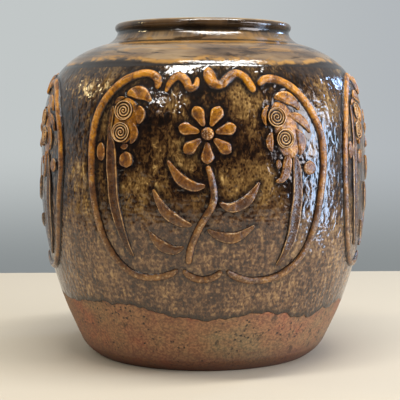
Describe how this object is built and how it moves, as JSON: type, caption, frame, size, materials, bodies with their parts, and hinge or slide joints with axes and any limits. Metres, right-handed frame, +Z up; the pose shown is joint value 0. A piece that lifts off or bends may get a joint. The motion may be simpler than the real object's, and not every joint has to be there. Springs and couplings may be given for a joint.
{
  "type": "martaban jar",
  "caption": "Wide-shouldered stoneware storage jar with a short neck, rolled lip, bare foot and raised clay ornament in arched panels.",
  "frame": {"origin": "middle of the flat that the jar stands on", "axes": "+Z up through the mouth, the front panel faces -Y, +X to the right of the front panel"},
  "size_m": [0.3431, 0.3432, 0.338],
  "materials": {
    "stoneware": "rough bare clay",
    "brown_glaze": "glossy mottled iron glaze",
    "amber_glaze": "glossy amber glaze over raised clay"
  },
  "bodies": {
    "root": {"base_slab": "stoneware", "foot_wall": "stoneware", "lower_wall": "brown_glaze", "upper_wall": "brown_glaze", "shoulder_wall": "brown_glaze", "shoulder_ring": "brown_glaze", "neck_collar": "brown_glaze", "rolled_lip": "brown_glaze", "front_left_ribbon": "amber_glaze", "front_foot_ribbon": "amber_glaze", "front_right_ribbon": "amber_glaze", "front_crown_curl": "amber_glaze", "front_crown_wave": "amber_glaze", "front_left_band": "amber_glaze", "front_right_band": "amber_glaze", "front_spiral_buttons": "amber_glaze", "front_left_leaves": "amber_glaze", "front_right_leaves": "amber_glaze", "front_sprig_stem": "amber_glaze", "front_sprig_leaves": "amber_glaze", "front_sprig_flower": "amber_glaze", "right_left_ribbon": "amber_glaze", "right_foot_ribbon": "amber_glaze", "right_right_ribbon": "amber_glaze", "right_crown_curl": "amber_glaze", "right_crown_wave": "amber_glaze", "right_left_band": "amber_glaze", "right_right_band": "amber_glaze", "right_spiral_buttons": "amber_glaze", "right_left_leaves": "amber_glaze", "right_right_leaves": "amber_glaze", "right_sprig_stem": "amber_glaze", "right_sprig_leaves": "amber_glaze", "right_sprig_flower": "amber_glaze", "back_left_ribbon": "amber_glaze", "back_foot_ribbon": "amber_glaze", "back_right_ribbon": "amber_glaze", "back_crown_curl": "amber_glaze", "back_crown_wave": "amber_glaze", "back_left_band": "amber_glaze", "back_right_band": "amber_glaze", "back_spiral_buttons": "amber_glaze", "back_left_leaves": "amber_glaze", "back_right_leaves": "amber_glaze", "back_sprig_stem": "amber_glaze", "back_sprig_leaves": "amber_glaze", "back_sprig_flower": "amber_glaze", "left_left_ribbon": "amber_glaze", "left_foot_ribbon": "amber_glaze", "left_right_ribbon": "amber_glaze", "left_crown_curl": "amber_glaze", "left_crown_wave": "amber_glaze", "left_left_band": "amber_glaze", "left_right_band": "amber_glaze", "left_spiral_buttons": "amber_glaze", "left_left_leaves": "amber_glaze", "left_right_leaves": "amber_glaze", "left_sprig_stem": "amber_glaze", "left_sprig_leaves": "amber_glaze", "left_sprig_flower": "amber_glaze"}
  },
  "joints": []
}
